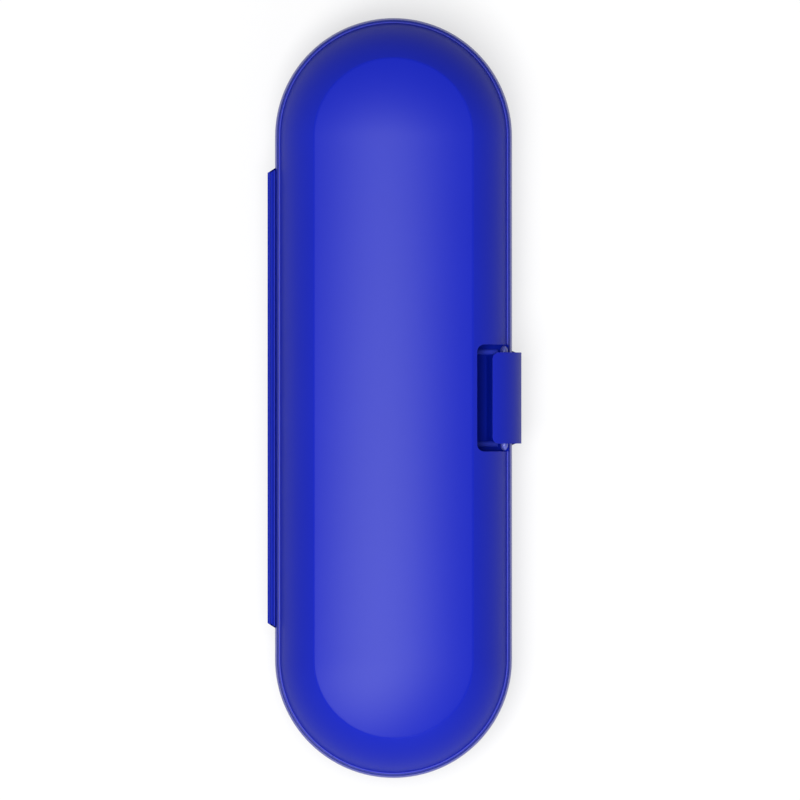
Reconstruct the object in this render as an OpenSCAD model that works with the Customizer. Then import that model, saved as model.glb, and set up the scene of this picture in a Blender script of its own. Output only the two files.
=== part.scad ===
// Electric toothbrush travel case: two deep shells on a living hinge, held shut by a swinging latch.
// Millimetres. X runs from the hinge to the latch, Y along the case and Z up. The origin is the middle
// of the flat face that the closed case rests on.

/* [Case] */

// Width across the two rims, without the hinge and the latch
body_w = 65; // [62:0.5:68]
// Length across the two rims
body_l = 208.5; // [200:0.5:224]
// Wall of both shells
wall_t = 1.8; // [1.5:0.1:2.1]
// Width of the shallow crown on top of the lid
crown_w = 43.6; // [41:0.2:45.6]
// Radius of the crown across the case
crown_r = 110; // [95:5:150]
// Width of the flat face under the base
foot_w = 43.6; // [42:0.2:45.6]
// How far the rim bands stand out from the flanks
rim_out = 1.6; // [1.3:0.1:1.8]
// Radius of the outer edge of the rim bands
rim_round = 1.2; // [0.8:0.1:1.3]
// Height of each rim band
rim_h = 3; // [2.6:0.1:3.4]
// Depth of the fine groove between the lid rim and its flank
rim_groove_d = 0.5; // [0.2:0.1:0.7]
// Width of that groove
rim_groove_w = 0.35; // [0.2:0.05:0.5]
// Gap between the closed rims
seam_gap = 0.1; // [0.05:0.05:0.2]

/* [Seam tongue] */

// Height of the tongue that rises from the base into the lid
tongue_h = 1.6; // [1:0.1:1.8]
// Thickness of the tongue
tongue_t = 1.3; // [0.9:0.1:1.5]
// Clearance around the tongue
tongue_gap = 0.2; // [0.15:0.05:0.3]

/* [Hinge] */

// Length of the hinge strip where it meets the rims
hinge_l = 125.8; // [100:0.2:136]
// Distance of the fold line from the rims
fold_out = 1.5; // [1.3:0.1:1.9]
// Height of each hinge leaf
leaf_t = 2.2; // [1.8:0.1:2.4]
// Radius of the folded web
web_r = 0.56; // [0.45:0.01:0.7]
// Thickness of the folded web
web_t = 0.26; // [0.2:0.02:0.34]
// Angle of the slanted leaf ends
leaf_end_angle = 31; // [0:1:45]
// Depth of the groove along each leaf
leaf_groove_d = 0.35; // [0.1:0.05:0.5]
// Half width of that groove
leaf_groove_w = 0.25; // [0.15:0.05:0.35]
// Chamfer along the outer edge of each leaf
leaf_chamfer = 0.3; // [0.1:0.05:0.4]
// Depth of the notch between a leaf and its rim
leaf_notch_d = 1; // [0.4:0.1:1.4]
// Width of that notch
leaf_notch_w = 0.15; // [0.05:0.05:0.25]

/* [Latch] */

// Width of the latch
latch_w = 25; // [20:0.5:26]
// How far the latch stands out from the rims
latch_out = 2.6; // [2.4:0.1:3]
// Radius of the curved latch top
latch_r = 16; // [15:0.5:17]
// Thickness of the latch
latch_t = 1.8; // [1.5:0.1:2]
// Distance from the outer face of the latch to its tip
latch_reach = 8; // [7.6:0.1:8.3]
// Radius of the two tip corners
latch_corner = 1.8; // [0.5:0.1:2]
// Thickness of the tooth under the tip
tooth_t = 1.4; // [1.1:0.1:1.6]
// Gap between the tooth and the pocket floor
tooth_gap = 0.7; // [0.5:0.05:0.9]
// How far the tooth stops short of each side of the latch
tooth_inset = 1.5; // [0.5:0.1:3]
// Distance of the latch pin below the seam
pin_drop = 11.5; // [11:0.1:12.5]
// Distance of the latch pin inside the outer face of the latch
pin_in = 2.5; // [2.3:0.1:2.7]
// Diameter of the latch pin
pin_d = 1.6; // [1.4:0.1:1.8]
// Radial clearance of the pin in its bores
pin_gap = 0.05; // [0.02:0.01:0.1]
// Radius of the latch knuckle
knuckle_r = 2.2; // [2:0.1:2.3]
// Radius of the lug noses
lug_r = 1.8; // [1.6:0.1:1.9]
// Thickness of each lug
lug_t = 2; // [1.6:0.1:2.4]
// How far the lugs stand out beyond the sides of the latch
lug_side = 0.45; // [0.2:0.05:0.8]
// How far the lug noses are cut back at their outer corners
lug_cut = 0.7; // [0.3:0.1:1.2]
// Side clearance between the knuckle and the lugs
knuckle_gap = 0.2; // [0.1:0.05:0.4]
// Gap between the lugs and the shoulders of the latch above them
shoulder_gap = 0.4; // [0.2:0.1:0.8]
// How far the pin ends lie inside the lugs
pin_short = 0.65; // [0.3:0.05:0.9]

/* [Latch pocket] */

// Distance from the latch tip to the back wall of the pocket
finger_gap = 4.2; // [4:0.1:5]
// Clearance between the latch and each side of the pocket
pocket_side = 2.15; // [1:0.05:2.5]
// Height of the pocket floor above the seam
pocket_rise = 4; // [3.8:0.1:4.4]
// Corner radius of the pocket
pocket_corner = 2; // [1:0.1:3]
// Radius of the catch bead
bead_r = 1.5; // [1.4:0.05:1.6]
// Clearance between the catch bead and the closed tooth
bead_gap = 0.1; // [0.05:0.05:0.2]
// Clearance between each end of the bead and the pocket wall
bead_end = 0.25; // [0.1:0.05:1]
// Radius of the two guide ribs on the pocket floor
guide_r = 0.45; // [0.3:0.05:0.6]
// Clearance between the tooth and each guide rib
guide_gap = 1.2; // [0.5:0.1:1.6]

/* [Cradles] */

// Largest diameter of the handle that the case holds
handle_d = 29; // [26:0.5:29.5]
// Diameter of the handle at its neck
neck_d = 19; // [14:0.5:24]
// Clearance around the handle
handle_gap = 0.3; // [0.2:0.1:0.6]
// Thickness of a cradle below the handle
cradle_floor = 2.4; // [2:0.1:3]
// Thickness of the cradle arms beside the handle
cradle_arm = 2.3; // [1.8:0.1:2.6]
// Thickness of each cradle along the case
cradle_t = 6; // [4:0.5:10]
// How far the cradle arms stop below the middle of the handle
cradle_low = 2; // [0:0.5:5]
// Gap between a cradle and the curved wall
cradle_wall_gap = 0.2; // [0.1:0.05:0.5]
// Position of the foot cradle along the case
foot_y = -60; // [-64:1:-45]
// Position of the grip cradle along the case
grip_y = 4; // [-10:1:20]
// Position of the neck cradle along the case
neck_y = 64; // [50:1:66]
// Thickness of the rails that locate the inserts on the floor
rail_t = 1.2; // [1:0.1:2]
// Height of the rails
rail_h = 2; // [1:0.1:2.2]
// Length of the rails
rail_l = 8; // [5:0.5:12]
// Clearance between an insert and its rails
rail_gap = 0.1; // [0.05:0.05:0.3]

/* [Lid pads] */

// Width of the soft pads in the lid
pad_w = 17; // [12:0.5:20]
// Thickness of the pads along the case
pad_t = 6; // [4:0.5:10]
// Room between the handle and the ceiling of the lid
pad_room = 6.4; // [6:0.1:8]
// How far the pad seats reach below the ceiling at the sides of a pad
seat_drop = 0.4; // [0.2:0.1:0.8]
// Thickness of the pad seats along the case
seat_t = 3; // [2:0.5:6]
// Gap between the pads and the handle
pad_gap = 0.4; // [0.2:0.1:0.8]

/* [Brush head holders] */

// Diameter of the pegs that the spare heads slip on
peg_d = 4; // [3:0.1:6]
// Length of each peg
peg_l = 12; // [8:0.5:20]
// Height of the pegs above the floor
peg_rise = 10.2; // [8:0.1:11]
// Width of the peg block
post_w = 8; // [6:0.5:8]
// Thickness of the peg block along the case
post_t = 8; // [6:0.5:12]
// Height of the peg block above the peg axis
post_top = 3.5; // [3:0.1:5]
// Diameter of a brush head where its clip holds it
head_neck_d = 8; // [6:0.5:9]
// Thickness of the clip ring
clip_t = 1.4; // [1:0.1:2]
// Width of the clip stem
clip_stem = 5; // [3:0.5:7]
// Thickness of each clip along the case
clip_l = 5; // [3:0.5:8]
// Width of the clip mouth
clip_mouth = 6; // [4:0.2:6.4]
// Distance of each clip from the middle of the case
clip_y = 58; // [45:1:66]

/* [Hidden] */

$fn = 96;
eps = 0.5;

// Plan of the case
rim_r = body_w / 2;
flank_r = rim_r - rim_out;
cavity_r = flank_r - wall_t;
end_y = body_l / 2 - rim_r;

// Place of the handle, which sets the height of the case
handle_r = handle_d / 2 + handle_gap;
handle_z = wall_t + cradle_floor + handle_r;
handle_x = -(cavity_r - cradle_arm - handle_r);
neck_r = neck_d / 2 + handle_gap;
cradle_top = handle_z - cradle_low;
body_h = handle_z + handle_r + pad_room + wall_t;
seam_z = body_h / 2;
base_top = seam_z - seam_gap;

// Section of the lid
crown_cz = body_h - crown_r;
crease_r = crown_w / 2;
crease_z = crown_cz + sqrt(crown_r * crown_r - crease_r * crease_r);
lid_cz = seam_z + rim_h;
lid_dx = flank_r - crease_r;
lid_dz = crease_z - lid_cz;
lid_arc = (lid_dx * lid_dx + lid_dz * lid_dz) / (2 * lid_dx);
lid_cx = flank_r - lid_arc;

// Section of the base
foot_r = foot_w / 2;
base_cz = base_top - rim_h;
base_dx = flank_r - foot_r;
base_arc = (base_dx * base_dx + base_cz * base_cz) / (2 * base_dx);
base_cx = flank_r - base_arc;
tongue_top = base_top + tongue_h;
tongue_r = cavity_r + tongue_t;
rebate_r = tongue_r + tongue_gap;
rebate_z = tongue_top + tongue_gap;

// Hinge
fold_x = -rim_r - fold_out;
leaf_gap = 0.05;
leaf_x = fold_x + leaf_gap;
leaf_w = fold_out - leaf_gap;
leaf_taper = (fold_out + web_r) * tan(leaf_end_angle);

// Latch
latch_x = rim_r + latch_out;
latch_cx = latch_x - latch_r;
tip_x = latch_x - latch_reach;
pin_x = latch_x - pin_in;
pin_z = seam_z - pin_drop;
lug_y = latch_w / 2 + lug_side;
knuckle_w = 2 * (lug_y - lug_t - knuckle_gap);
bore_l = 2 * (lug_y + lug_t);
shoulder_z = pin_z + lug_r + shoulder_gap;
pocket_z = seam_z + pocket_rise;
tooth_z = pocket_z + tooth_gap;
tooth_dx = tip_x + tooth_t - latch_cx;
tooth_top = seam_z + sqrt(pow(latch_r - latch_t / 2, 2) - tooth_dx * tooth_dx);
pocket_x = tip_x - finger_gap;
pocket_w = latch_w + 2 * pocket_side;
bead_x = tip_x + tooth_t + bead_gap + bead_r;
bead_l = pocket_w - 2 * bead_end;

// Inside
arm_x = handle_x + handle_r + cradle_arm;
pad_edge = pad_w / 2 - handle_x;
crown_ceiling = crown_cz + sqrt(pow(crown_r - wall_t, 2) - pad_edge * pad_edge);
flank_ceiling = lid_cz + sqrt(pow(lid_arc - wall_t, 2) - pow(max(pad_edge - lid_cx, 0), 2));
seat_z = min(crown_ceiling, flank_ceiling) - seat_drop;
head_x = min((arm_x + cavity_r) / 2, foot_r - wall_t - post_w / 2);
peg_z = wall_t + peg_rise;

node_colour = "royalblue";

// Sweeps a section, given as distance from the middle line and height, around a stadium
module stadium(half_straight) {
  rotate([90, 0, 0])
    linear_extrude(height = 2 * half_straight, center = true) {
      children();
      mirror([1, 0]) children();
    }
  for (turn = [0, 180])
    rotate([0, 0, turn])
      translate([0, half_straight, 0])
        rotate_extrude(angle = 180)
          children();
}

// Runs a section in X and Z along the case, centred on y
module along(y, length) {
  translate([0, y, 0])
    rotate([90, 0, 0])
      linear_extrude(height = length, center = true)
        children();
}

// Rim band with its outer edge rounded, from the seam upwards
module rim_2d() {
  square([rim_r - rim_round, rim_h]);
  square([rim_r, rim_h - rim_round]);
  translate([rim_r - rim_round, rim_h - rim_round])
    circle(r = rim_round);
}

module lid_outer_2d() {
  intersection() {
    translate([0, crown_cz])
      circle(r = crown_r);
    union() {
      translate([lid_cx, lid_cz])
        circle(r = lid_arc);
      square([lid_cx, body_h]);
    }
    translate([0, seam_z])
      square([rim_r, body_h]);
  }
  difference() {
    translate([0, seam_z])
      rim_2d();
    translate([flank_r, lid_cz - rim_groove_d])
      square([rim_groove_w, rim_h]);
  }
}

module lid_cavity_2d() {
  intersection() {
    union() {
      intersection() {
        translate([0, crown_cz])
          circle(r = crown_r - wall_t);
        union() {
          translate([lid_cx, lid_cz])
            circle(r = lid_arc - wall_t);
          square([lid_cx, body_h]);
        }
      }
      square([cavity_r, lid_cz]);
      square([rebate_r, rebate_z]);
    }
    translate([0, seam_z - eps])
      square([rim_r, body_h]);
  }
}

module base_outer_2d() {
  intersection() {
    union() {
      translate([base_cx, base_cz])
        circle(r = base_arc);
      square([base_cx, base_top]);
    }
    square([flank_r, base_top]);
  }
  translate([0, base_top])
    mirror([0, 1])
      rim_2d();
  translate([0, base_cz])
    square([tongue_r, tongue_top - base_cz]);
}

// The room inside the base, drawn in by a gap where an insert follows the curved wall
module base_cavity_2d(gap) {
  intersection() {
    union() {
      translate([base_cx, base_cz])
        circle(r = base_arc - wall_t - gap);
      square([base_cx, body_h]);
      translate([0, base_cz])
        square([cavity_r - gap, body_h]);
    }
    translate([0, wall_t])
      square([cavity_r, body_h]);
  }
}

// Plan of a rounded oblong from x towards the latch
module oblong_2d(x, width, corner) {
  translate([x + corner, -width / 2])
    square([body_w, width]);
  translate([x, -width / 2 + corner])
    square([body_w, width - 2 * corner]);
  for (side = [-1, 1])
    translate([x + corner, side * (width / 2 - corner)])
      circle(r = corner);
}

// Low round rib along the pocket floor, beside the tooth
module guide_rib(side) {
  translate([pocket_x, side * (latch_w / 2 - tooth_inset + guide_gap + guide_r), pocket_z])
    rotate([90, 0, 90])
      linear_extrude(height = bead_x - bead_r - pocket_x)
        circle(r = guide_r);
}

module pocket(grow) {
  translate([0, 0, pocket_z - grow])
    linear_extrude(height = body_h)
      oblong_2d(pocket_x - grow, pocket_w + 2 * grow, pocket_corner + grow);
}

// Low rails on the base floor that hold an insert in place along the case
module rails(x, y, thickness) {
  for (side = [-1, 1])
    translate([x - rail_l / 2, y + side * (thickness / 2 + rail_gap + rail_t / 2) - rail_t / 2,
      wall_t - eps])
      cube([rail_l, rail_t, rail_h + eps]);
}

// One lug for the latch pin, cut back at its outer end
module lug_2d() {
  translate([pin_x, pin_z])
    circle(r = lug_r);
  polygon([[base_cx, pin_z - lug_r], [pin_x, pin_z - lug_r], [pin_x, pin_z + lug_r],
    [flank_r, base_cz + eps], [base_cx, base_cz + eps]]);
}

module lugs() {
  intersection() {
    union() {
      for (side = [-1, 1])
        along(side * (lug_y - lug_t / 2), lug_t)
          lug_2d();
    }
    linear_extrude(height = seam_z)
      polygon([[0, -lug_y], [rim_r, -lug_y], [pin_x + lug_r, -lug_y + lug_cut],
        [pin_x + lug_r, lug_y - lug_cut], [rim_r, lug_y], [0, lug_y]]);
  }
}

module base_shell() {
  color(node_colour) {
    difference() {
      union() {
        stadium(end_y)
          base_outer_2d();
        lugs();
      }
      stadium(end_y)
        base_cavity_2d(0);
      along(0, bore_l)
        translate([pin_x, pin_z])
          circle(d = pin_d + 2 * pin_gap);
    }
    rails(handle_x, foot_y, cradle_t);
    rails(handle_x, grip_y, cradle_t);
    rails(handle_x, neck_y, cradle_t);
    rails(head_x, 0, post_t);
    rails(head_x, clip_y, clip_l);
    rails(head_x, -clip_y, clip_l);
  }
}

module lid_shell() {
  color(node_colour)
    difference() {
      union() {
        stadium(end_y)
          lid_outer_2d();
        translate([bead_x, -pocket_w / 2, rebate_z])
          cube([bead_r, pocket_w, pocket_z - rebate_z]);
      }
      difference() {
        stadium(end_y)
          lid_cavity_2d();
        pocket(wall_t);
        for (y = [foot_y, grip_y, neck_y])
          translate([handle_x - pad_w / 2, y - seat_t / 2, seat_z])
            cube([pad_w, seat_t, body_h]);
      }
      difference() {
        pocket(0);
        guide_rib(-1);
        guide_rib(1);
      }
    }
}

// Section of a hinge leaf above the seam, with a groove along its top
module leaf_2d() {
  groove_x = leaf_x + leaf_w / 2;
  notch_x = -rim_r - leaf_notch_w;
  polygon([[-rim_r, 0], [-rim_r, leaf_t - leaf_notch_d], [notch_x, leaf_t - leaf_notch_d],
    [notch_x, leaf_t], [groove_x + leaf_groove_w, leaf_t], [groove_x, leaf_t - leaf_groove_d],
    [groove_x - leaf_groove_w, leaf_t], [leaf_x + leaf_chamfer, leaf_t],
    [leaf_x, leaf_t - leaf_chamfer], [leaf_x, 0]]);
}

// Cuts the ends of a hinge piece on a slant
module leaf_ends() {
  intersection() {
    children();
    linear_extrude(height = body_h)
      polygon([[-rim_r, -hinge_l / 2], [-rim_r, hinge_l / 2],
        [fold_x - web_r, hinge_l / 2 - leaf_taper], [fold_x - web_r, -hinge_l / 2 + leaf_taper]]);
  }
}

module lid_hinge_leaf() {
  color(node_colour)
    leaf_ends()
      along(0, hinge_l)
        translate([0, seam_z])
          leaf_2d();
}

module base_hinge_leaf() {
  color(node_colour)
    leaf_ends()
      along(0, hinge_l)
        translate([0, base_top])
          mirror([0, 1])
            leaf_2d();
}

module hinge_web() {
  color(node_colour)
    leaf_ends()
      along(0, hinge_l)
        intersection() {
          translate([fold_x, seam_z])
            difference() {
              circle(r = web_r);
              circle(r = web_r - web_t);
            }
          translate([fold_x - 2 * web_r, 0])
            square([2 * web_r + leaf_gap, body_h]);
        }
}

module latch_pin() {
  color("silver")
    along(0, 2 * (lug_y - pin_short))
      translate([pin_x, pin_z])
        circle(d = pin_d);
}

module latch_2d() {
  intersection() {
    translate([latch_cx, seam_z])
      difference() {
        circle(r = latch_r);
        circle(r = latch_r - latch_t);
      }
    translate([tip_x, seam_z])
      square([latch_r, latch_r]);
  }
  translate([latch_x - latch_t, pin_z])
    square([latch_t, seam_z - pin_z]);
  translate([pin_x, pin_z])
    circle(r = knuckle_r);
}

module latch_cover() {
  color(node_colour)
    difference() {
      intersection() {
        union() {
          along(0, latch_w)
            latch_2d();
          along(0, latch_w - 2 * tooth_inset)
            translate([tip_x, tooth_z])
              square([tooth_t, tooth_top - tooth_z]);
        }
        linear_extrude(height = body_h)
          oblong_2d(tip_x, latch_w, latch_corner);
      }
      for (side = [0, 1])
        mirror([0, side, 0])
          translate([tip_x, knuckle_w / 2, 0])
            cube([body_w, latch_w, shoulder_z]);
      along(0, latch_w)
        translate([pin_x, pin_z])
          circle(d = pin_d + 2 * pin_gap);
    }
}

module catch_bead() {
  color("slateblue")
    translate([bead_x, 0, pocket_z])
      stadium(bead_l / 2 - bead_r)
        intersection() {
          circle(r = bead_r);
          square([bead_r, bead_r]);
        }
}

// A cradle across the base with a round seat for the handle
module cradle(y, seat_r) {
  color("lightsteelblue")
    along(y, cradle_t)
      difference() {
        intersection() {
          union() {
            base_cavity_2d(cradle_wall_gap);
            mirror([1, 0])
              base_cavity_2d(cradle_wall_gap);
          }
          translate([handle_x - seat_r - cradle_arm, wall_t])
            square([2 * (seat_r + cradle_arm), cradle_top - wall_t]);
        }
        translate([handle_x, handle_z])
          circle(r = seat_r);
      }
}

module cradle_foot() {
  cradle(foot_y, handle_r);
}

module cradle_grip() {
  cradle(grip_y, handle_r);
}

module cradle_neck() {
  cradle(neck_y, neck_r);
}

// A soft pad under a seat of the lid, hollowed to the handle
module lid_pad(y, seat_r) {
  color("dimgray")
    along(y, pad_t)
      difference() {
        translate([handle_x - pad_w / 2, handle_z + seat_r / 2])
          square([pad_w, seat_z - handle_z - seat_r / 2]);
        translate([handle_x, handle_z])
          circle(r = seat_r + pad_gap);
      }
}

module lid_pad_foot() {
  lid_pad(foot_y, handle_r);
}

module lid_pad_grip() {
  lid_pad(grip_y, handle_r);
}

module lid_pad_neck() {
  lid_pad(neck_y, neck_r);
}

module head_peg_block() {
  color("lightsteelblue") {
    along(0, post_t)
      translate([head_x - post_w / 2, wall_t])
        square([post_w, peg_rise + post_top]);
    along(0, post_t + 2 * peg_l)
      translate([head_x, peg_z])
        circle(d = peg_d);
  }
}

module head_clip(y) {
  color("lightsteelblue")
    along(y, clip_l)
      difference() {
        union() {
          translate([head_x, peg_z])
            circle(d = head_neck_d + 2 * clip_t);
          translate([head_x - clip_stem / 2, wall_t])
            square([clip_stem, peg_rise]);
        }
        translate([head_x, peg_z])
          circle(d = head_neck_d);
        translate([head_x - clip_mouth / 2, peg_z])
          square([clip_mouth, head_neck_d]);
      }
}

module head_clip_upper() {
  head_clip(clip_y);
}

module head_clip_lower() {
  head_clip(-clip_y);
}

base_shell();
base_hinge_leaf();
hinge_web();
latch_pin();
cradle_foot();
cradle_grip();
cradle_neck();
head_peg_block();
head_clip_upper();
head_clip_lower();
lid_shell();
lid_hinge_leaf();
catch_bead();
lid_pad_foot();
lid_pad_grip();
lid_pad_neck();
latch_cover();
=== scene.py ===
import math
import bmesh
import bpy
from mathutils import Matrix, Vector


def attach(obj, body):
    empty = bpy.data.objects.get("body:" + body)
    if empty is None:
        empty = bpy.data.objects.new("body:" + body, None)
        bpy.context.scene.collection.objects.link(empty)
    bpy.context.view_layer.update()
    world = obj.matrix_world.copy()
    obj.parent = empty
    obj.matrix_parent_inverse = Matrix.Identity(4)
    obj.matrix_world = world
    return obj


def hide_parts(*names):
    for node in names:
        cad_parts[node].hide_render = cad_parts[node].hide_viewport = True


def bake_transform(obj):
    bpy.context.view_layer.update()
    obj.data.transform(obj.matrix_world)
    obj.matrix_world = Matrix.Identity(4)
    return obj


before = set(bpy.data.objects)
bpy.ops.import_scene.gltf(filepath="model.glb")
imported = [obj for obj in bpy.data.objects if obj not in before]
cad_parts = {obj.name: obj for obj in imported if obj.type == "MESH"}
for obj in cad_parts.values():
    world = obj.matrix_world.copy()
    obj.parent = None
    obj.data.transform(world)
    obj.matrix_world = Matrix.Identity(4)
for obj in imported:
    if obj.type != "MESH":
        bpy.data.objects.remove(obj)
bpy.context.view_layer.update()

# Electric toothbrush travel case. Each solid of the frame gets a detailed piece in its place.
# Sizes are in millimetres and angles in degrees, apart from the stage, which is in metres.
# X runs from the hinge to the latch, Y along the case and Z up, as in the frame.

MM = 0.001

# Shells, whose plan is a stadium with round ends centred END_Y from the middle
BODY_W = 65.0
BODY_L = 208.5
TOP_Z = 42.0
SEAM_Z = 21.0
SEAM_GAP = 0.1
WALL = 1.8
RIM_OUT = 1.6
RIM_H = 3.0
RIM_R = BODY_W / 2
END_Y = (BODY_L - BODY_W) / 2
FLANK_R = RIM_R - RIM_OUT
CAVITY_R = FLANK_R - WALL
BASE_TOP = SEAM_Z - SEAM_GAP
LID_BAND_Z = SEAM_Z + RIM_H
BASE_BAND_Z = BASE_TOP - RIM_H
FOOT_R = 21.8

# Outer skin of the lid: crown, crease, flank and the fine groove above the rim band
CROWN_R = 110.0
CROWN_ARC_Z = TOP_Z - CROWN_R
CREASE_R = 21.8
CREASE_Z = CROWN_ARC_Z + math.sqrt(CROWN_R ** 2 - CREASE_R ** 2)
CREASE_A = math.degrees(math.asin(CREASE_R / CROWN_R))
SKIN_R = FLANK_R + 0.2
FLANK_TURN = 16.0
GROOVE_D = 0.1
GROOVE_W = 0.3
END_DRAW = 0.45

# Tongue of the base and the rebate that it stands in
TONGUE_T = 1.3
TONGUE_H = 1.6
TONGUE_GAP = 0.2
TONGUE_R = CAVITY_R + TONGUE_T
TONGUE_TOP = BASE_TOP + TONGUE_H
REBATE_R = TONGUE_R + TONGUE_GAP
REBATE_Z = TONGUE_TOP + TONGUE_GAP

# Living hinge: two slanted strips and the thin fold between them
HINGE_L = 125.8
FOLD_OUT = 1.5
FOLD_X = -RIM_R - FOLD_OUT
LEAF_X = FOLD_X + 0.05
LEAF_SLANT = math.tan(math.radians(31))
LEAF_END_CUT = 0.5
WEB_R = 0.56
WEB_T = 0.26
WEB_END_GAP = 0.05

# Latch cover with its tooth
LATCH_W = 25.0
LATCH_OUT = 2.6
LATCH_REACH = 8.0
LATCH_X = RIM_R + LATCH_OUT
LATCH_TOP = 34.856
LATCH_TURN = 22.0
LATCH_T = 1.8
LATCH_CORNER = 1.8
TIP_X = LATCH_X - LATCH_REACH
TOOTH_T = 1.4
TOOTH_INSET = 1.5
TOOTH_GAP = 0.7
TOOTH_TOP = 32.82

# Pin of the latch, the two lugs that hold it and the knuckle between them
PIN_IN = 2.5
PIN_DROP = 11.5
PIN_SHORT = 0.65
PIN_GAP = 0.05
LUG_SIDE = 0.45
LUG_R = 1.8
LUG_T = 2.0
LUG_CUT = 0.72
KNUCKLE_R = 2.2
KNUCKLE_GAP = 0.2
SHOULDER_GAP = 0.4
PIN_D = 1.6
PIN_X = LATCH_X - PIN_IN
PIN_Z = SEAM_Z - PIN_DROP
LUG_Y = LATCH_W / 2 + LUG_SIDE
PIN_L = 2 * (LUG_Y - PIN_SHORT)
BORE_R = PIN_D / 2 + PIN_GAP
KNUCKLE_Y = LUG_Y - LUG_T - KNUCKLE_GAP
SHOULDER_Z = PIN_Z + LUG_R + SHOULDER_GAP

# Pocket of the latch, with its catch bead, guide ribs and the scoop in its floor
FINGER_GAP = 4.2
POCKET_SIDE = 2.15
POCKET_RISE = 4.0
POCKET_CORNER = 2.0
BEAD_R = 1.5
BEAD_GAP = 0.1
BEAD_END = 0.25
BEAD_DRAW_Y = 11.8
GUIDE_GAP = 1.65
SCOOP_X = 25.5
SCOOP_D = 1.1
POCKET_X = TIP_X - FINGER_GAP
POCKET_Y = LATCH_W / 2 + POCKET_SIDE
POCKET_Z = SEAM_Z + POCKET_RISE
TOOTH_Z = POCKET_Z + TOOTH_GAP
BEAD_X = TIP_X + TOOTH_T + BEAD_GAP + BEAD_R
BEAD_Y = POCKET_Y - BEAD_END
GUIDE_Y = LATCH_W / 2 - TOOTH_INSET + GUIDE_GAP

# What holds the handle and the spare heads, and where
HANDLE_X = -12.0
HANDLE_Z = 19.0
GRIP_SEAT_R = 14.8
NECK_SEAT_R = 9.8
FOOT_Y = -60.0
GRIP_Y = 4.0
NECK_Y = 64.0
CRADLE_T = 6.0
CRADLE_TOP = HANDLE_Z - 2.0
CRADLE_ARM = 2.3
CRADLE_FOOT_H = 1.9
SEAT_BAND = 1.5
WEB_INSET = 0.6
WEB_HALF = 1.7
INSERT_GAP = 0.2
PAD_W = 17.0
PAD_T = 6.0
PAD_GAP = 0.4
PAD_SEAT_T = 3.0
PAD_SEAT_Z = 37.84
HEAD_X = 16.0
PEG_Z = 12.0
POST_T = 8.0
CLIP_Y = 58.0
CLIP_T = 5.0
RAIL_T = 1.2
RAIL_H = 2.0
RAIL_L = 8.0
RAIL_GAP = 0.1

# Reach of tools that cut all the way out, past the latch or up
FAR_X = 40.0
FAR_Y = 20.0
FAR_Z = 60.0


# Materials

DRIFT_SCALE = 18.0
NOISE_LOW = 0.3
NOISE_HIGH = 0.7
GRAIN_DEPTH = 0.02
WHITE = (1, 1, 1)


def add(tree, kind, **inputs):
    """Adds a node and sets inputs, in whose names an underscore stands for a space."""
    made = tree.nodes.new("ShaderNode" + kind)
    for name, value in inputs.items():
        made.inputs[name.replace("_", " ")].default_value = value
    return made


def empty_tree(owner, output):
    """Empties the nodes of a material or world and adds its output node."""
    owner.use_nodes = True
    tree = owner.node_tree
    tree.nodes.clear()
    return tree, add(tree, output)


def grained(name, dark, light, rough=(0.35, 0.38), grain=0.06, grain_size=0.35, specular=0.15,
            tint=(0.96, 0.97, 1.0), metallic=0.0):
    """Slow drift between two colours, nearly even gloss and a fine moulded or turned grain."""
    mat = bpy.data.materials.new(name)
    tree, out = empty_tree(mat, "OutputMaterial")
    link = tree.links.new
    shader = add(tree, "BsdfPrincipled", Metallic=metallic, Specular_IOR_Level=specular,
                 Specular_Tint=(*tint, 1))
    link(shader.outputs["BSDF"], out.inputs["Surface"])
    coords = add(tree, "TexCoord").outputs["Object"]
    slow = add(tree, "TexNoise", Scale=DRIFT_SCALE, Detail=4.0, Roughness=0.55)
    link(coords, slow.inputs["Vector"])
    ramp = add(tree, "ValToRGB")
    low, high = ramp.color_ramp.elements
    low.position, low.color = NOISE_LOW, (*dark, 1)
    high.position, high.color = NOISE_HIGH, (*light, 1)
    link(slow.outputs["Fac"], ramp.inputs["Fac"])
    link(ramp.outputs["Color"], shader.inputs["Base Color"])
    fine = add(tree, "TexNoise", Scale=1.0 / (grain_size * MM), Detail=2.0)
    link(coords, fine.inputs["Vector"])
    gloss = add(tree, "MapRange", From_Min=NOISE_LOW, From_Max=NOISE_HIGH, To_Min=rough[0],
                To_Max=rough[1])
    link(fine.outputs["Fac"], gloss.inputs["Value"])
    link(gloss.outputs["Result"], shader.inputs["Roughness"])
    bump = add(tree, "Bump", Strength=grain, Distance=GRAIN_DEPTH * MM)
    link(fine.outputs["Fac"], bump.inputs["Height"])
    link(bump.outputs["Normal"], shader.inputs["Normal"])
    return mat


shell_blue = grained("shell_polypropylene", (0.0028, 0.0118, 0.400), (0.0036, 0.0130, 0.422))
# Painted light: a lighter copy of the shell plastic on the steep flank faces, also rougher and
# less glossy.
flank_lit_blue = grained("flank_painted_light", (0.0088, 0.0195, 0.460), (0.0098, 0.0210, 0.484),
                     rough=(0.44, 0.47), specular=0.10)
# Painted shade: a much darker copy of the shell plastic on the rim band's top faces.
rim_top_shade_blue = grained("rim_band_top_painted_shade", (0.0020, 0.0092, 0.190), (0.0026, 0.0104, 0.210),
                   specular=0.22)
# Painted light: a slightly lighter and glossier copy of the shell plastic on the rim band's
# side.
band_side_lit_blue = grained("rim_band_side_painted_light", (0.0070, 0.0160, 0.430), (0.0080, 0.0175, 0.455),
                    specular=0.42)
# Painted shade: a darker copy of the shell plastic in the latch pocket, which also has a real
# matt finish.
pocket_shade_blue = grained("pocket_matt_painted_shade", (0.0006, 0.0068, 0.235), (0.0008, 0.0080, 0.265),
                      rough=(0.62, 0.70), specular=0.03)
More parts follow.
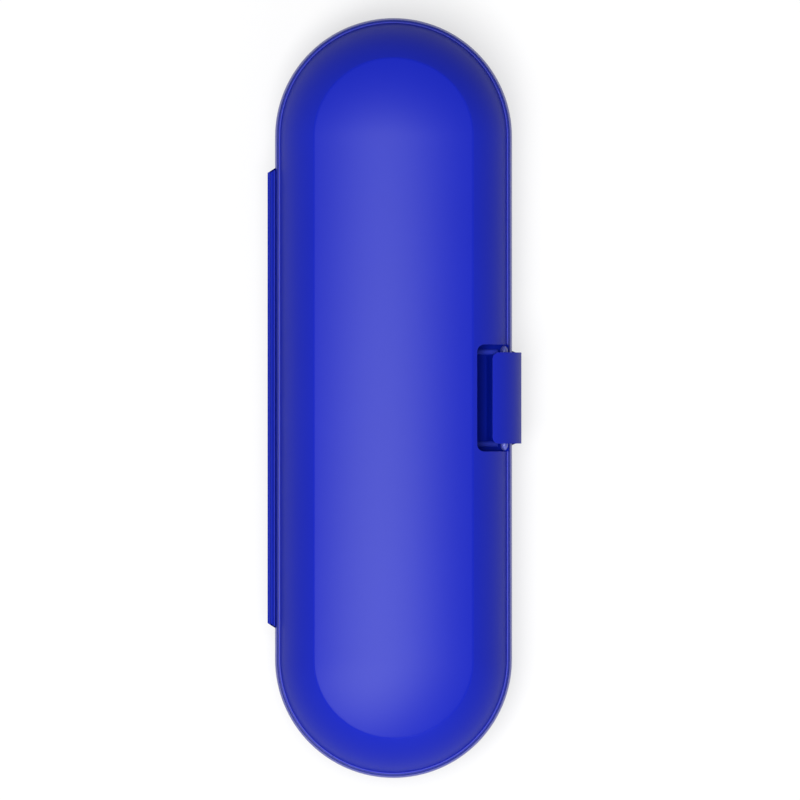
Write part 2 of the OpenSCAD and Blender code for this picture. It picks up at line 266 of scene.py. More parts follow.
# Painted shade and highlight: darker than the shell for the pocket's shade, with a grey tint
# for the ribs' soft highlight.
rib_shade_sheen_blue = grained("guide_rib", (0.012, 0.025, 0.36), (0.015, 0.029, 0.39),
                   rough=(0.55, 0.62), specular=0.08)
# Painted shade: a nearly black copy of the plastic on the hinge strips' ends and the latch
# lugs, with a matt finish.
end_shade_blue = grained("ends_matt_painted_shade", (0.0003, 0.0012, 0.110), (0.0005, 0.0018, 0.130),
                   rough=(0.66, 0.72), specular=0.02)
# Painted shade: a darker copy of the shell plastic on the hinge strips.
hinge_shade_blue = grained("hinge_painted_shade", (0.0024, 0.0115, 0.33), (0.0028, 0.0128, 0.36),
                     rough=(0.46, 0.52), specular=0.10)
# Painted light: a lighter copy of the shell plastic on the latch, like the flank's.
latch_lit_blue = grained("latch_painted_light", (0.0088, 0.0195, 0.444), (0.0098, 0.0210, 0.468),
                     rough=(0.44, 0.47), specular=0.10)
# Painted reflection: a greyish, lighter copy of the plastic on the catch bead.
bead_reflection_blue = grained("catch_bead_painted_reflection", (0.085, 0.10, 0.46), (0.10, 0.12, 0.52),
                    rough=(0.30, 0.36), specular=0.5, tint=WHITE)
insert_pale = grained("insert_plastic", (0.46, 0.52, 0.66), (0.52, 0.58, 0.72),
                      rough=(0.45, 0.55), grain=0.12, specular=0.4, tint=WHITE)
pad_grey = grained("soft_pad", (0.045, 0.048, 0.06), (0.065, 0.068, 0.08),
                   rough=(0.7, 0.85), grain=0.4, grain_size=0.5, specular=0.3, tint=WHITE)
pin_steel = grained("pin_steel", (0.62, 0.63, 0.65), (0.7, 0.71, 0.72),
                    rough=(0.2, 0.3), grain=0.05, specular=0.5, tint=WHITE, metallic=1.0)


# Outlines, as lists of points in one plane

SAME_POINT = 0.02


def arc(cx, cz, r, start, stop, count):
    """Points of an arc from one angle to another."""
    out = []
    for k in range(count + 1):
        a = math.radians(start + (stop - start) * k / count)
        out.append((cx + r * math.cos(a), cz + r * math.sin(a)))
    return out


def toward(p, q, d):
    """The point that lies d from p on the way to q, kept short of half way."""
    gap = math.dist(p, q)
    step = min(d, 0.48 * gap) / gap
    return (p[0] + (q[0] - p[0]) * step, p[1] + (q[1] - p[1]) * step)


def soften(points, cuts, steps=4):
    """Turns chosen corners (x, z, cut) of a section into short curves."""
    out = []
    count = len(points)
    for i, p in enumerate(points):
        cut = next((c[2] for c in cuts if math.dist(p, c[:2]) < SAME_POINT), None)
        if cut is None:
            out.append(p)
            continue
        a, b = toward(p, points[i - 1], cut), toward(p, points[(i + 1) % count], cut)
        for k in range(steps + 1):
            t = k / steps
            out.append(tuple((1 - t) ** 2 * a[j] + 2 * t * (1 - t) * p[j] + t * t * b[j]
                             for j in (0, 1)))
    return out


def inset(outline, step):
    """A closed section drawn in by a small step, so that an end can be rounded over."""
    area = sum(p[0] * q[1] - q[0] * p[1] for p, q in zip(outline, outline[1:] + outline[:1]))
    turn = 1 if area > 0 else -1
    out = []
    for i, p in enumerate(outline):
        a, b = outline[i - 1], outline[(i + 1) % len(outline)]
        u = ((p[0] - a[0]) / math.dist(p, a), (p[1] - a[1]) / math.dist(p, a))
        v = ((b[0] - p[0]) / math.dist(b, p), (b[1] - p[1]) / math.dist(b, p))
        n = (-(u[1] + v[1]), u[0] + v[0])
        size = max(math.hypot(*n), 1e-6)
        n = (n[0] / size, n[1] / size)
        reach = step / max(-n[0] * u[1] + n[1] * u[0], 0.35)
        out.append((p[0] + turn * n[0] * reach, p[1] + turn * n[1] * reach))
    return out


def oblong(x, half, corner, steps=12):
    """Plan of a rounded oblong that opens towards the latch."""
    low = arc(x + corner, -half + corner, corner, 270, 180, steps)
    high = arc(x + corner, half - corner, corner, 180, 90, steps)
    return [(FAR_X, -half)] + low + high + [(FAR_X, half)]


# Solids from outlines

def to_object(bm, name):
    """Closes the seams of a mesh in the making and puts it into the scene."""
    bmesh.ops.remove_doubles(bm, verts=bm.verts, dist=1e-7)
    bmesh.ops.recalc_face_normals(bm, faces=bm.faces)
    me = bpy.data.meshes.new(name)
    bm.to_mesh(me)
    bm.free()
    o = bpy.data.objects.new(name, me)
    bpy.context.scene.collection.objects.link(o)
    return o


def stadium(name, outline, half, steps=64, centre=(0.0, 0.0, 0.0)):
    """Sweeps a section (distance from the middle line, height) around a stadium.

    The section starts and ends on the middle line, so the sweep is a closed solid.
    """
    bm = bmesh.new()
    rings = []
    for turn in (0, 1):
        cy = half * (1 - 2 * turn)
        for k in range(steps + 1):
            a = math.pi * (turn + k / steps)
            ca, sa = math.cos(a), math.sin(a)
            rings.append([bm.verts.new(((centre[0] + r * ca) * MM,
                                        (centre[1] + cy + r * sa) * MM,
                                        (centre[2] + z) * MM)) for r, z in outline])
    for s, ring in enumerate(rings):
        after = rings[(s + 1) % len(rings)]
        for i in range(len(outline) - 1):
            bm.faces.new((ring[i], ring[i + 1], after[i + 1], after[i]))
    return to_object(bm, name)


def loft(name, rows):
    """Joins rows of points (x, y, z), each a closed loop of the same count, into a solid."""
    bm = bmesh.new()
    rows = [[bm.verts.new([c * MM for c in p]) for p in row] for row in rows]
    count = len(rows[0])
    for low, high in zip(rows, rows[1:]):
        for i in range(count):
            j = (i + 1) % count
            bm.faces.new((low[i], low[j], high[j], high[i]))
    bm.faces.new(rows[0])
    bm.faces.new(list(reversed(rows[-1])))
    return to_object(bm, name)


def prism(name, outline, half, middle=0.0):
    """Runs a closed X/Z section along Y."""
    return loft(name, [[(x, middle + side * half, z) for x, z in outline] for side in (-1, 1)])


def soft_prism(name, outline, half, edge, middle=0.0, steps=3):
    """Runs a closed X/Z section along Y, with both ends rounded over."""
    rows = []
    for side in (-1, 1):
        for k in range(steps + 1):
            a = math.radians(90 * k / steps)
            ring = inset(outline, edge * (1 - math.sin(a))) if k < steps else outline
            rows.append((side * (half - edge * (1 - math.cos(a))), ring))
    rows = sorted(rows, key=lambda row: row[0])
    return loft(name, [[(x, middle + y, z) for x, z in ring] for y, ring in rows])


def column(name, outline, low, high):
    """Runs a closed X/Y plan upwards."""
    return loft(name, [[(x, y, z) for x, y in outline] for z in (low, high)])


def block(low, high):
    """A plain box between two corners, as a tool for a boolean."""
    plan = [(low[0], low[1]), (high[0], low[1]), (high[0], high[1]), (low[0], high[1])]
    return column("block", plan, low[2], high[2])


def lathe(name, outline, centre, steps=48):
    """Turns a section (radius, place along Y) around the line along Y through the centre."""
    bm = bmesh.new()
    rings = []
    for k in range(steps):
        a = 2 * math.pi * k / steps
        rings.append([bm.verts.new(((centre[0] + r * math.cos(a)) * MM, (centre[1] + s) * MM,
                                    (centre[2] + r * math.sin(a)) * MM)) for r, s in outline])
    for k, ring in enumerate(rings):
        after = rings[(k + 1) % steps]
        for i in range(len(outline) - 1):
            bm.faces.new((ring[i], ring[i + 1], after[i + 1], after[i]))
    return to_object(bm, name)


def joined(objects):
    """Puts several separate tools into one mesh."""
    bm = bmesh.new()
    for o in objects:
        bm.from_mesh(o.data)
        bpy.data.objects.remove(o)
    return to_object(bm, "tools")


def clean(o, near=0.002):
    """Merges points that are nearer than a distance and drops empty faces."""
    bm = bmesh.new()
    bm.from_mesh(o.data)
    bmesh.ops.remove_doubles(bm, verts=bm.verts, dist=near * MM)
    bmesh.ops.dissolve_degenerate(bm, edges=bm.edges, dist=near * MM / 2)
    bm.to_mesh(o.data)
    bm.free()


def combine(body, tool, operation):
    """Adds a tool to a body or cuts with it, and removes the tool."""
    mod = body.modifiers.new("combine", "BOOLEAN")
    mod.operation, mod.solver, mod.object = operation, "EXACT", tool
    deps = bpy.context.evaluated_depsgraph_get()
    baked = bpy.data.meshes.new_from_object(body.evaluated_get(deps))
    body.modifiers.clear()
    body.data = baked
    bpy.data.objects.remove(tool)
    clean(body)


def bore(body):
    """Bores the hole for the latch pin through a body."""
    section = [(0, -FAR_Y), (BORE_R, -FAR_Y), (BORE_R, FAR_Y), (0, FAR_Y)]
    combine(body, lathe("bore", section, (PIN_X, 0, PIN_Z), steps=40), "DIFFERENCE")


# Shading of pieces

def paint(o, mats, choose):
    """Gives a mesh its materials, and each face the one chosen by its middle and normal."""
    me = o.data
    me.materials.clear()
    for mat in mats:
        me.materials.append(mat)
    for face in me.polygons:
        x, y, z = (c / MM for c in face.center)
        face.material_index = mats.index(choose(x, y, z, face.normal))


def smooth_below(o, angle):
    """Shades a mesh smoothly across every edge that turns by less than an angle."""
    o.data.polygons.foreach_set("use_smooth", [True] * len(o.data.polygons))
    o.data.set_sharp_from_angle(angle=math.radians(angle))


def finish_piece(o, body, node, mat=None, smooth=30):
    """Shades a piece, ties it to its body and hides the node that it stands in for; a painted
    one has its materials.
    """
    if mat is not None:
        o.data.materials.clear()
        o.data.materials.append(mat)
    smooth_below(o, smooth)
    weight = o.modifiers.new("normals", "WEIGHTED_NORMAL")
    weight.keep_sharp = True
    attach(o, body)
    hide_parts(node)


# Lid

def rim_band(place):
    """Face of a rim band from its inner edge to the seam, as (x, height above the seam)."""
    face = [(SKIN_R + GROOVE_W, 2.97), (31.44, 3.0), (31.62, 2.975), (31.80, 2.945),
            (31.89, 2.89), (31.96, 2.76), (32.02, 2.58), (32.12, 2.28), (32.25, 1.78),
            (32.37, 1.05), (RIM_R, 0.10)]
    return [(x, place(rise)) for x, rise in face]


def flank_arc(reach):
    """Centre, radius and end angles of the flank's arc, from the crease down to the rim."""
    dx, dz = reach - CREASE_R, CREASE_Z - LID_BAND_Z
    chord, lean = math.hypot(dx, dz), math.degrees(math.atan2(dx, dz))
    r = chord / 2 / math.sin(math.radians(FLANK_TURN))
    low = lean - FLANK_TURN
    cx = reach - r * math.cos(math.radians(low))
    cz = LID_BAND_Z - r * math.sin(math.radians(low))
    return cx, cz, r, lean + FLANK_TURN, low


LID_ARC_X, LID_ARC_Z, LID_ARC_R, _, LID_LOW_A = flank_arc(FLANK_R)
SKIN_ARC_X, SKIN_ARC_Z, SKIN_ARC_R, SKIN_HIGH_A, SKIN_LOW_A = flank_arc(SKIN_R)


def inner_meeting():
    """Angles at which the inner crown and the inner flank meet, found by halving."""
    rc, rf = CROWN_R - WALL, LID_ARC_R - WALL
    low, high = 0.0, 89.0
    for _ in range(60):
        a = (low + high) / 2
        x = LID_ARC_X + rf * math.cos(math.radians(a))
        z = LID_ARC_Z + rf * math.sin(math.radians(a))
        if math.hypot(x, z - CROWN_ARC_Z) < rc:
            low = a
        else:
            high = a
    return low, math.degrees(math.asin((LID_ARC_X + rf * math.cos(math.radians(low))) / rc))


FLANK_IN_A, CROWN_IN_A = inner_meeting()


def lid_skin():
    """Outer side of the lid's section, from the middle of the crown down to the seam."""
    crown = arc(0, CROWN_ARC_Z, CROWN_R, 90, 90 - CREASE_A, 20)
    flank = arc(SKIN_ARC_X, SKIN_ARC_Z, SKIN_ARC_R, SKIN_HIGH_A, SKIN_LOW_A, 34)
    groove = [(SKIN_R, LID_BAND_Z - GROOVE_D), (SKIN_R + GROOVE_W, LID_BAND_Z - GROOVE_D)]
    band = rim_band(lambda rise: SEAM_Z + rise)
    return crown + flank[1:] + groove + band + [(RIM_R, SEAM_Z)]


def lid_inside(depth):
    """The skin at a depth in the wall, from the rim up to the middle of the crown."""
    flank = arc(LID_ARC_X, LID_ARC_Z, LID_ARC_R - depth, LID_LOW_A, FLANK_IN_A, 26)
    return flank + arc(0, CROWN_ARC_Z, CROWN_R - depth, 90 - CROWN_IN_A, 90, 16)[1:]


def lid_section():
    rebate = [(REBATE_R, SEAM_Z), (REBATE_R, REBATE_Z), (CAVITY_R, REBATE_Z)]
    pts = lid_skin() + rebate + lid_inside(WALL)
    return soften(pts, [(CREASE_R, CREASE_Z, 0.30), (RIM_R, SEAM_Z, 0.12),
                        (REBATE_R, SEAM_Z, 0.15)])


def off_middle(x, y):
    """Distance from the middle line of the stadium plan."""
    return math.hypot(x, max(abs(y) - END_Y, 0.0))


def draw_ends(o):
    """Draws the two ends of the crown in a little, less and less towards the rim."""
    for v in o.data.vertices:
        x, y, z = (c / MM for c in v.co)
        if abs(y) > END_Y and z > LID_BAND_Z:
            rise = min((z - LID_BAND_Z) / (CREASE_Z - LID_BAND_Z), 1.0)
            step = END_DRAW * rise * (abs(y) - END_Y) / CREASE_R
            v.co.y -= math.copysign(step * MM, y)


def lid_lining():
    """Walls of the pocket and seats of the pads, up to half way into the lid's own wall."""
    start = REBATE_Z + 0.2
    section = [(0.0, start), (LID_ARC_X + LID_ARC_R - WALL / 2, start)] + lid_inside(WALL / 2)
    lining = stadium("half_wall", section, END_Y)
    plan = oblong(POCKET_X - WALL, POCKET_Y + WALL, POCKET_CORNER + WALL)
    keep = [column("liner", plan, POCKET_Z - WALL, FAR_Z)]
    for y in (FOOT_Y, GRIP_Y, NECK_Y):
        keep.append(block((HANDLE_X - PAD_W / 2, y - PAD_SEAT_T / 2, PAD_SEAT_Z),
                          (HANDLE_X + PAD_W / 2, y + PAD_SEAT_T / 2, FAR_Z)))
    combine(lining, joined(keep), "INTERSECT")
    return lining


def guide_rib(side):
    """A low bar on the pocket floor, with a nearly flat top."""
    half = [(0.0, 0.45), (0.25, 0.44), (0.50, 0.38), (0.66, 0.24), (0.74, 0.0), (0.74, -0.4)]
    section = [(-y, z) for y, z in reversed(half[1:])] + half
    return loft("rib", [[(x, side * GUIDE_Y + y, POCKET_Z + z) for y, z in section]
                        for x in (POCKET_X - 0.3, BEAD_X - BEAD_R)])


def pocket_tool():
    """What is cut out for the pocket: its room and the scoop, less the two guide ribs."""
    tool = column("pocket", oblong(POCKET_X, POCKET_Y, POCKET_CORNER), POCKET_Z, FAR_Z)
    high, low = POCKET_Z + 0.4, POCKET_Z - SCOOP_D
    scoop = [(SCOOP_X, high), (SCOOP_X, POCKET_Z), (SCOOP_X + 1.3, low), (BEAD_X - 2.2, low),
             (BEAD_X - 1.4, high)]
    scoop = soften(scoop, [scoop[2] + (0.5,)])
    combine(tool, prism("scoop", scoop, GUIDE_Y - 0.95), "UNION")
    combine(tool, joined([guide_rib(side) for side in (-1, 1)]), "DIFFERENCE")
    return tool


def lid_material(x, y, z, normal):
    """The material of one face of the lid: the shell plastic, or copies of it with painted
    shade on the band's top and in the pocket, painted shade and highlight on the ribs, and
    painted light on the band's side and the flank.
    """
    if off_middle(x, y) > SKIN_R + 0.2 and z < LID_BAND_Z + 0.01:
        # The band's top faces get painted shade.
        if normal.z > 0.6:
            return rim_top_shade_blue
        # The band's side gets painted light.
        outer = band_side_lit_blue
    # Steep flank faces get painted light.
    elif normal.z < 0.86 and off_middle(x, y) > CREASE_R - 1 and z > LID_BAND_Z:
        outer = flank_lit_blue
    else:
        outer = shell_blue
    skin = math.hypot(x, z - CROWN_ARC_Z) - CROWN_R > -0.06 and x < CREASE_R + 0.4
    skin = skin or abs(math.hypot(x - SKIN_ARC_X, z - SKIN_ARC_Z) - SKIN_ARC_R) < 0.06
    # Faces in the pocket get painted shade.
    beside = x > POCKET_X - 0.05 and abs(y) < POCKET_Y + 0.05
    if skin or not beside or z <= POCKET_Z - SCOOP_D - 0.05:
        return outer
    # The guide ribs get painted shade with a grey painted highlight.
    rib = abs(abs(y) - GUIDE_Y) < 0.8 and POCKET_Z + 0.02 < z < POCKET_Z + 0.5
    return rib_shade_sheen_blue if rib and x < BEAD_X else pocket_shade_blue


def lid():
    shell = stadium("lid_outer", lid_section(), END_Y)
    draw_ends(shell)
    combine(shell, lid_lining(), "UNION")
    bead_room = POCKET_Y - 0.05
    combine(shell, block((BEAD_X, -bead_room, REBATE_Z + 0.4),
                         (BEAD_X + BEAD_R, bead_room, POCKET_Z + 0.3)), "UNION")
    combine(shell, pocket_tool(), "DIFFERENCE")
    shell.name = "lid_shell_moulded"
    paint(shell, [shell_blue, pocket_shade_blue, rib_shade_sheen_blue, rim_top_shade_blue, flank_lit_blue, band_side_lit_blue],
          lid_material)
    finish_piece(shell, "lid", "lid_shell", smooth=28)


# Base

BASE_ARC_R = ((FLANK_R - FOOT_R) ** 2 + BASE_BAND_Z ** 2) / (2 * (FLANK_R - FOOT_R))
BASE_ARC_X = FLANK_R - BASE_ARC_R
FOOT_A = math.degrees(math.atan2(-BASE_BAND_Z, FOOT_R - BASE_ARC_X))
FLOOR_A = math.degrees(math.asin((WALL - BASE_BAND_Z) / (BASE_ARC_R - WALL)))


def base_section():
    flank = arc(BASE_ARC_X, BASE_BAND_Z, BASE_ARC_R, FOOT_A, 0, 34)[1:]
    band = rim_band(lambda rise: BASE_TOP - rise)
    tongue = [(RIM_R, BASE_TOP), (TONGUE_R, BASE_TOP), (TONGUE_R, TONGUE_TOP),
              (CAVITY_R, TONGUE_TOP)]
    inner = arc(BASE_ARC_X, BASE_BAND_Z, BASE_ARC_R - WALL, 0, FLOOR_A, 30)
    pts = [(0.0, 0.0), (FOOT_R, 0.0)] + flank + band + tongue + inner + [(0.0, WALL)]
    return soften(pts, [(FOOT_R, 0.0, 0.35), (RIM_R, BASE_TOP, 0.12),
                        (TONGUE_R, TONGUE_TOP, 0.25), (CAVITY_R, TONGUE_TOP, 0.2),
                        inner[-1] + (0.45,)])


def lugs():
    """The two lugs beside the knuckle, from half way into the wall to their cut noses."""
    nose = arc(PIN_X, PIN_Z, LUG_R, -90, 62, 16)
    section = [(BASE_ARC_X, PIN_Z - LUG_R)] + nose
    section += [(FLANK_R, BASE_BAND_Z + 0.5), (BASE_ARC_X, BASE_BAND_Z + 0.4)]
    pair = joined([prism("lug", section, LUG_T / 2, middle=side * (LUG_Y - LUG_T / 2))
                   for side in (-1, 1)])
    plan = [(0, -LUG_Y), (RIM_R, -LUG_Y), (PIN_X + LUG_R, -LUG_Y + LUG_CUT),
            (PIN_X + LUG_R, LUG_Y - LUG_CUT), (RIM_R, LUG_Y), (0, LUG_Y)]
    combine(pair, column("plan", plan, -1, SEAM_Z), "INTERSECT")
    half_r = BASE_ARC_R - WALL / 2
    inside = [(0.0, WALL / 2)] + arc(BASE_ARC_X, BASE_BAND_Z, half_r, FOOT_A + 3, 0, 34)
    inside += [(BASE_ARC_X + half_r, SEAM_Z), (0.0, SEAM_Z)]
    combine(pair, stadium("half_wall", inside, END_Y), "DIFFERENCE")
    return pair


def rails():
    """A low rail on each side of every insert, which keeps it in its place."""
    places = [(HANDLE_X, y, CRADLE_T) for y in (FOOT_Y, GRIP_Y, NECK_Y)]
    places += [(HEAD_X, 0.0, POST_T), (HEAD_X, CLIP_Y, CLIP_T), (HEAD_X, -CLIP_Y, CLIP_T)]
    made = []
    for x, y, thick in places:
        for side in (-1, 1):
            c = y + side * (thick / 2 + RAIL_GAP + RAIL_T / 2)
            made.append(block((x - RAIL_L / 2, c - RAIL_T / 2, WALL - 0.5),
                              (x + RAIL_L / 2, c + RAIL_T / 2, WALL + RAIL_H)))
    return joined(made)


def base_material(x, y, z, _):
    """The material of one face of the base: painted shade on the lugs, painted light on the rim
    band, otherwise the shell plastic.
    """
    # The lugs beside the latch get painted shade.
    if x > FLANK_R + 0.9 and abs(y) < LUG_Y + 0.1 and z < BASE_BAND_Z:
        return end_shade_blue
    # The rim band gets painted light.
    return band_side_lit_blue if off_middle(x, y) > FLANK_R + 0.4 and z > BASE_BAND_Z else shell_blue


def base():
    shell = stadium("base_outer", base_section(), END_Y)
    combine(shell, lugs(), "UNION")
    bore(shell)
    combine(shell, rails(), "UNION")
    shell.name = "base_shell_moulded"
    paint(shell, [shell_blue, end_shade_blue, band_side_lit_blue], base_material)
    finish_piece(shell, "base", "base_shell", smooth=28)


# Hinge

def leaf_reach(x):
    """Half length of the strip, which is slanted in plan."""
    return HINGE_L / 2 + 0.15 - max(-RIM_R - x, 0.0) * LEAF_SLANT


def leaf_outline(drop=0.0):
    """Section of a leaf: a low ridge, a slope and a lip at the fold, as the strip shows."""
    pts = [(-32.20, 0), (-32.20, 1.0), (-32.44, 1.0), (-32.44, 2.08), (-32.50, 2.18),
           (-32.60, 2.2), (-32.80, 2.17), (-32.90, 2.08), (-33.04, 1.80), (-33.14, 1.70),
           (-33.36, 1.60), (-33.50, 1.60), (-33.66, 1.54), (-33.80, 1.38), (-33.90, 1.10),
           (LEAF_X, 0.8), (LEAF_X, 0)]
    return [(x, z - drop if z > 0 else z) for x, z in pts]


def strip(name, outlines, place):
    """A strip with slanted ends; outlines are (section, cut) from an end towards the middle.
    Its faces get a darker copy of the plastic as painted shade.
    """
    rows = [[(x, -leaf_reach(x) + cut, place(z)) for x, z in outline]
            for outline, cut in outlines]
    rows += [[(x, leaf_reach(x) - cut, place(z)) for x, z in outline]
             for outline, cut in reversed(outlines)]
    o = loft(name, rows)
    # End faces get painted shade.
    paint(o, [hinge_shade_blue, end_shade_blue],
          lambda x, y, z, normal: end_shade_blue if abs(normal.y) > 0.3 else hinge_shade_blue)
    return o


def leaves():
    ends = [(leaf_outline(LEAF_END_CUT), 0.0), (leaf_outline(), LEAF_END_CUT)]
    o = strip("lid_leaf", ends, lambda z: SEAM_Z + z)
    finish_piece(o, "lid", "lid_hinge_leaf", smooth=33)
    o = strip("base_leaf", ends, lambda z: BASE_TOP - z)
    finish_piece(o, "base", "base_hinge_leaf", smooth=33)


def fold():
    """The thin fold between the leaves, a half round band."""
    tail = [(LEAF_X + 0.02, -WEB_R), (LEAF_X + 0.02, -WEB_R + WEB_T)]
    ring = arc(FOLD_X, 0, WEB_R, 90, 270, 24) + tail
    ring += arc(FOLD_X, 0, WEB_R - WEB_T, 270, 90, 24)
    ring += [(x, -z) for x, z in reversed(tail)]
    o = strip("fold_web", [(ring, WEB_END_GAP)], lambda z: SEAM_Z + z)
    smooth_below(o, 50)
    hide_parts("hinge_web")
    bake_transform(o)


# Latch

CORNER_STEPS = 12


def latch_outline(tip_x):
    """Section of the cover, from a tip that ends at tip_x down to the knuckle."""
    dx, dz = LATCH_X - TIP_X, LATCH_TOP - SEAM_Z
    lean = math.degrees(math.atan2(dx, dz))
    r = math.hypot(dx, dz) / 2 / math.sin(math.radians(LATCH_TURN))
    low = lean - LATCH_TURN
    cx = LATCH_X - r * math.cos(math.radians(low))
    cz = SEAM_Z - r * math.sin(math.radians(low))
    inner = r - LATCH_T
    high = math.degrees(math.acos((tip_x - cx) / r))
    end = math.degrees(math.acos((tip_x - cx) / inner))
    outside = arc(cx, cz, r, high, low, 32)
    inside = arc(cx, cz, inner, low, end, 28)
    pts = outside + [(LATCH_X, PIN_Z + 1.4), (LATCH_X - 0.15, PIN_Z + 0.3)]
    pts += arc(PIN_X, PIN_Z, KNUCKLE_R, -20, -288.6, 40)
    pts += [(LATCH_X - LATCH_T, SEAM_Z - 0.6)] + inside
    return soften(pts, [outside[0] + (0.45,), inside[-1] + (0.3,)], steps=6)


def latch():
    flat, rows = LATCH_W / 2 - LATCH_CORNER, []
    for k in range(CORNER_STEPS + 1):
        turn = math.radians(90 * k / CORNER_STEPS)
        tip_x = TIP_X + LATCH_CORNER * (1 - math.cos(turn))
        rows.append((flat + LATCH_CORNER * math.sin(turn), latch_outline(tip_x)))
    rows = [(-y, ring) for y, ring in reversed(rows)] + rows
    o = loft("latch_cover_moulded", [[(x, y, z) for x, z in ring] for y, ring in rows])
    tooth = [(TIP_X, TOOTH_Z), (TIP_X + TOOTH_T, TOOTH_Z), (TIP_X + TOOTH_T, TOOTH_TOP),
             (TIP_X, TOOTH_TOP)]
    combine(o, soft_prism("tooth", tooth, LATCH_W / 2 - TOOTH_INSET, 0.2), "UNION")
    sides = [block((TIP_X - 5, low, -1), (FAR_X, high, SHOULDER_Z))
             for low, high in ((-FAR_Y, -KNUCKLE_Y), (KNUCKLE_Y, FAR_Y))]
    combine(o, joined(sides), "DIFFERENCE")
    bore(o)
    clean(o, 0.01)
    # The cover gets painted light.
    finish_piece(o, "latch", "latch_cover", latch_lit_blue)


def pin():
    half, r, chamfer = PIN_L / 2, PIN_D / 2, 0.2
    section = [(0, -half), (r - chamfer, -half), (r, -half + chamfer), (r, half - chamfer),
               (r - chamfer, half), (0, half)]
    o = lathe("latch_pin_turned", section, (PIN_X, 0, PIN_Z))
    finish_piece(o, "base", "latch_pin", pin_steel)


def bead():
    """The half round bead, whose two ends are drawn in a little, away from the pocket."""
    section = arc(0, 0, BEAD_R, 90, 0, 16) + [(0.0, 0.0)]
    o = stadium("catch_bead_moulded", section, BEAD_Y - BEAD_R, steps=32,
                centre=(BEAD_X, 0, POCKET_Z))
    for v in o.data.vertices:
        draw = min(max(abs(v.co.y / MM) - BEAD_DRAW_Y, 0.0), 1.0)
        across = (v.co.x / MM - BEAD_X) * (1 - 0.30 * draw)
        v.co.x = (BEAD_X + across + 0.25 * draw) * MM
    # The bead gets a painted reflection.
    finish_piece(o, "lid", "catch_bead", bead_reflection_blue)


# Inside pieces

INNER_R = BASE_ARC_R - WALL - INSERT_GAP


def wall_x(z):
    """Distance from the middle of the curved inner wall, less the gap, at a height."""
    return BASE_ARC_X + math.sqrt(INNER_R ** 2 - (BASE_BAND_Z - z) ** 2)


def wall_z(x):
    """Height at which the curved inner wall, less the gap, is at a distance from the middle."""
    return BASE_BAND_Z - math.sqrt(INNER_R ** 2 - (x - BASE_ARC_X) ** 2)


def slope(z, r):
    """Angle below level, seen from the handle's middle, of the point at a height on a seat."""
    return math.degrees(math.asin((HANDLE_Z - z) / r))


def cradle_web(seat_r, low, top, side):
    """Section of a cradle's web: the seat, two arms and the edge along the wall."""
    right = HANDLE_X + seat_r + side
    left = max(HANDLE_X - seat_r - side, -wall_x(top))
    tip = slope(top, seat_r)
    pts = [(right, low), (right, top)]
    pts += arc(HANDLE_X, HANDLE_Z, seat_r, -tip, tip - 180, 48) + [(left, top)]
    start = wall_z(-left)
    for k in range(1, 17):
        z = start + (low - start) * k / 16
        pts.append((-wall_x(z), z))
    return pts


def cradle_band(seat_r):
    """Section of the wide band that lines the seat."""
    outer = seat_r + SEAT_BAND
    tip, far = slope(CRADLE_TOP, seat_r), slope(CRADLE_TOP, outer)
    return (arc(HANDLE_X, HANDLE_Z, seat_r, -tip, tip - 180, 40)
            + arc(HANDLE_X, HANDLE_Z, outer, far - 180, -far, 40))


def cradle_foot(seat_r):
    """Section of the wide foot, which stays just off the web's edge along the wall."""
    right, top = HANDLE_X + seat_r + CRADLE_ARM, WALL + CRADLE_FOOT_H
    return [(right, WALL), (right, top), (0.04 - wall_x(top), top), (0.04 - wall_x(WALL), WALL)]


def cradle(name, node, y, seat_r):
    """A thin web between a wide seat band and a wide foot."""
    web = cradle_web(seat_r + WEB_INSET, WALL + 0.4, CRADLE_TOP - 0.5, CRADLE_ARM - WEB_INSET)
    half = CRADLE_T / 2
    o = prism(name, web, WEB_HALF, middle=y)
    combine(o, soft_prism("band", cradle_band(seat_r), half, 0.4, middle=y), "UNION")
    combine(o, soft_prism("foot", cradle_foot(seat_r), half, 0.3, middle=y), "UNION")
    clean(o, 0.03)
    finish_piece(o, "base", node, insert_pale, smooth=40)


def clip(name, node, y):
    """A springy ring on a stem that holds the far end of a spare head."""
    stem, hold_r, outer_r, mouth = 2.5, 4.0, 5.4, 3.0
    root = math.degrees(math.asin(stem / outer_r))
    lip_out = math.degrees(math.acos(mouth / outer_r))
    lip_in = math.degrees(math.acos(mouth / hold_r))
    pts = [(HEAD_X - stem, WALL), (HEAD_X + stem, WALL)]
    pts += arc(HEAD_X, PEG_Z, outer_r, root - 90, lip_out, 28)
    pts += arc(HEAD_X, PEG_Z, hold_r, lip_in, -180 - lip_in, 48)
    pts += arc(HEAD_X, PEG_Z, outer_r, 180 - lip_out, 270 - root, 28)
    lip_z = PEG_Z + math.sqrt(hold_r ** 2 - mouth ** 2)
    lips = [(HEAD_X + side * mouth, lip_z, 0.28) for side in (-1, 1)]
    o = soft_prism(name, soften(pts, lips), CLIP_T / 2, 0.1, middle=y)
    finish_piece(o, "base", node, insert_pale, smooth=40)


def peg_block():
    """A post with a peg on each side for the spare heads."""
    half, top, reach = 4.0, 15.5, 16.0
    left, right = HEAD_X - half, HEAD_X + half
    post = soften([(left, WALL), (right, WALL), (right, top), (left, top)],
                  [(right, top, 1.8), (left, top, 1.8)], steps=6)
    o = soft_prism("head_peg_block_moulded", post, POST_T / 2, 0.5)
    side = [(2.5, 4.2), (2.5, 4.5), (2.35, 4.7), (2.0, 4.75), (2.0, reach - 0.7),
            (1.8, reach - 0.25), (1.3, reach), (0.0, reach)]
    pegs = [(r, -s) for r, s in reversed(side)] + side
    combine(o, lathe("peg", pegs, (HEAD_X, 0, PEG_Z)), "UNION")
    finish_piece(o, "base", "head_peg_block", insert_pale, smooth=40)


